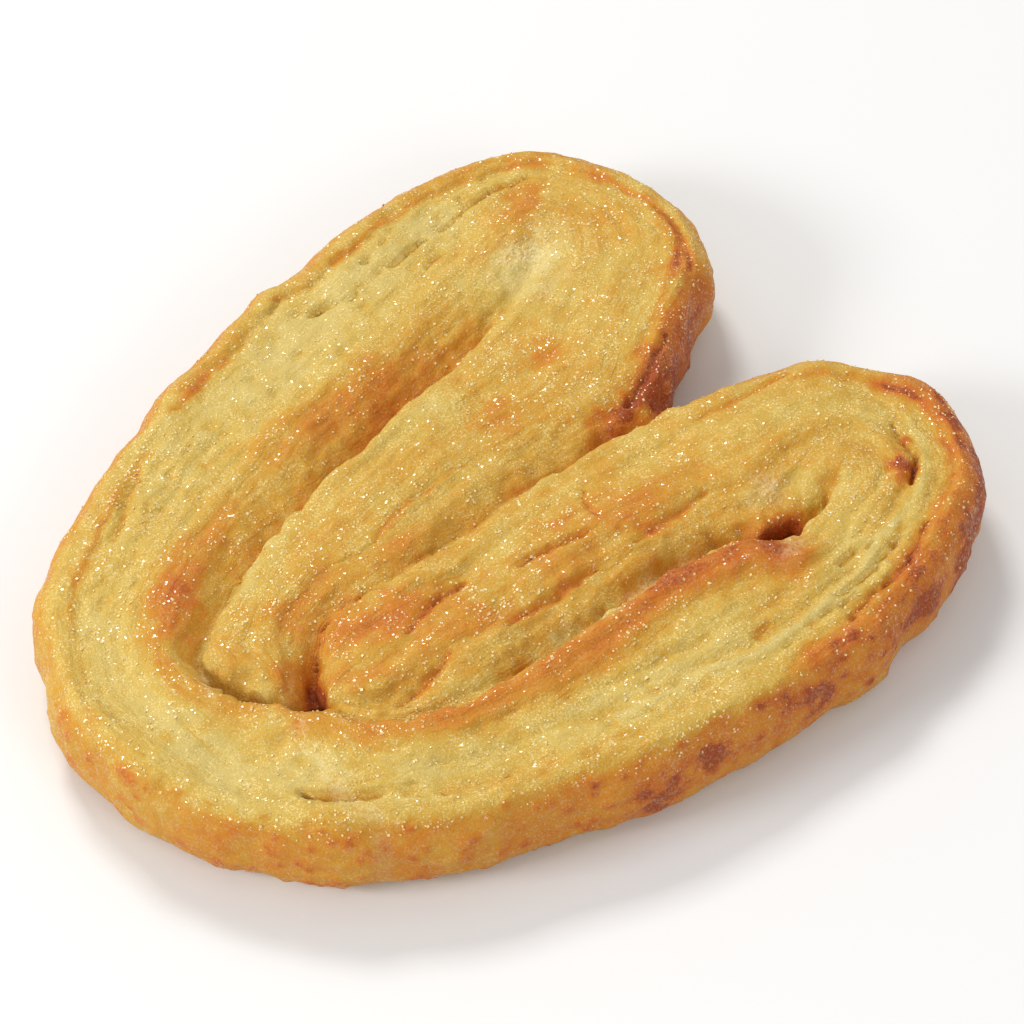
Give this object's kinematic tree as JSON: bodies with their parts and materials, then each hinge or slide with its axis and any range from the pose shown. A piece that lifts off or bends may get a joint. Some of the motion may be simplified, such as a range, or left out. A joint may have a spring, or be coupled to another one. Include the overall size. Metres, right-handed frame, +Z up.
{
  "type": "palmier pastry",
  "caption": "Flat heart-shaped palmier of sugared puff pastry, its layered dough folded into two lobes that meet along a middle seam, with a browned crust.",
  "frame": {"origin": "middle of the flat underside, which lies on the table", "axes": "+Y along the length, from the rounded base to the tips of the two lobes; +Z up, through the thickness; X across the two lobes"},
  "size_m": [0.0896, 0.1049, 0.0134],
  "materials": {
    "baked_dough": "golden flaky puff pastry, browned at the folds, glittering with baked-on sugar"
  },
  "bodies": {
    "root": {"folded_pastry": "baked_dough"}
  },
  "joints": []
}
